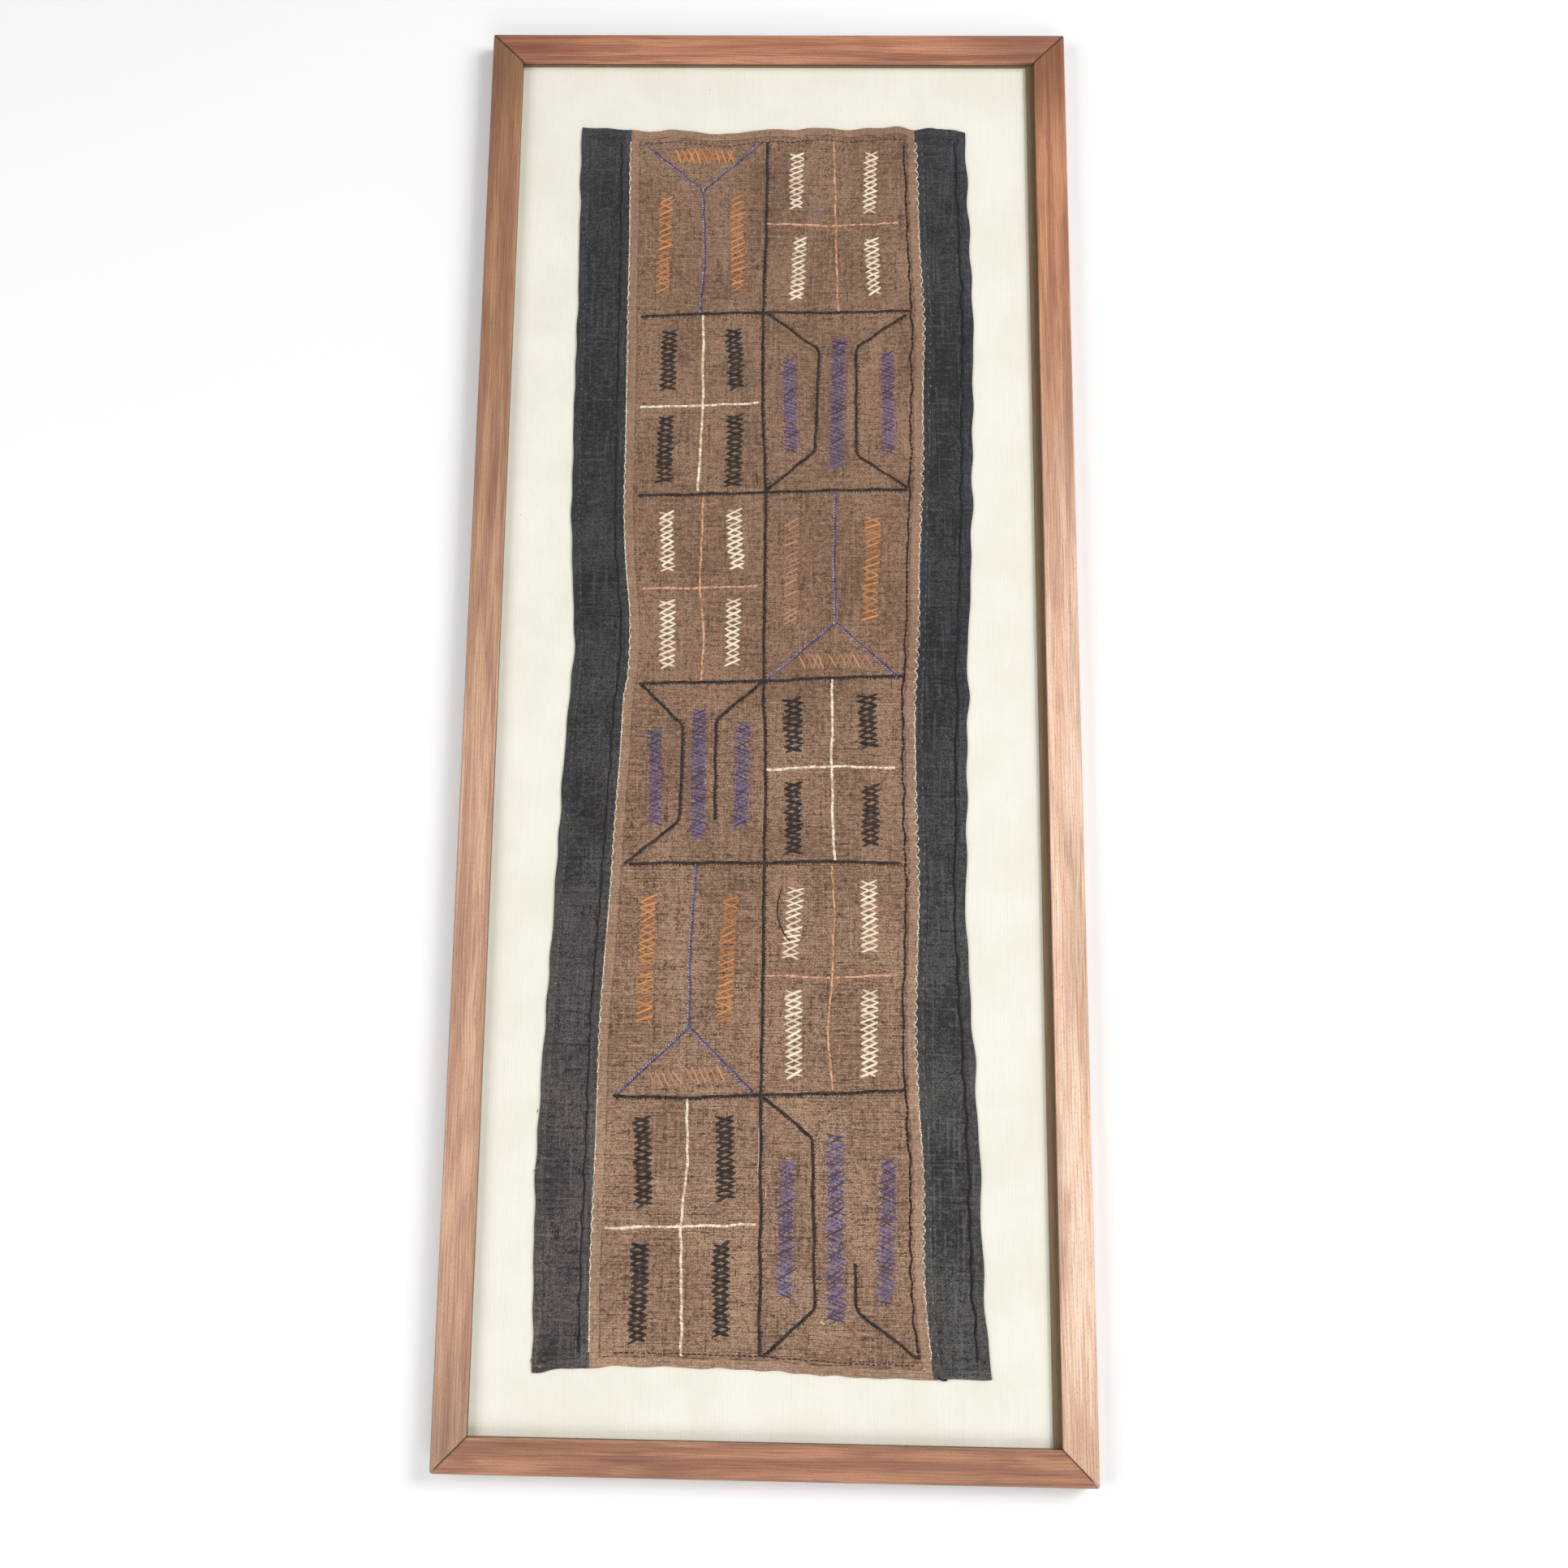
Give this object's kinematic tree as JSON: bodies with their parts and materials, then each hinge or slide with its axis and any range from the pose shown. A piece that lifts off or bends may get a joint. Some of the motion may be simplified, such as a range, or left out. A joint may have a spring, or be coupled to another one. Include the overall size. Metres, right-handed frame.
{
  "type": "framed kuba raffia cloth",
  "caption": "Long pieced raffia cloth with charcoal borders and geometric raffia embroidery, sewn to a cream mount behind glass in a narrow wooden frame.",
  "frame": {"origin": "centre of the frame's back, on the surface it lies on", "axes": "+Y along the frame's height towards the top of the picture, +Z out through the glass, +X to the right of the picture"},
  "size_m": [0.48, 1.152, 0.02],
  "materials": {
    "frame_wood": "satin varnished reddish brown softwood with streaky grain",
    "glazing": "clear polished picture glass",
    "spacer_strip": "matt taupe strip",
    "mount_fabric": "fine ribbed cream cotton over board",
    "raffia_brown": "brown plain-woven raffia, matt with light flecks",
    "raffia_charcoal": "charcoal dyed plain-woven raffia, matt"
  },
  "bodies": {
    "root": {"rail_top": "frame_wood", "rail_bottom": "frame_wood", "rail_left": "frame_wood", "rail_right": "frame_wood", "glass_pane": "glazing", "spacer_top": "spacer_strip", "spacer_bottom": "spacer_strip", "spacer_left": "spacer_strip", "spacer_right": "spacer_strip", "mount_board": "mount_fabric", "panel_upper": "raffia_brown", "panel_lower": "raffia_brown", "border_left_upper": "raffia_charcoal", "border_left_lower": "raffia_charcoal", "border_right_upper": "raffia_charcoal", "border_right_lower": "raffia_charcoal"}
  },
  "joints": []
}
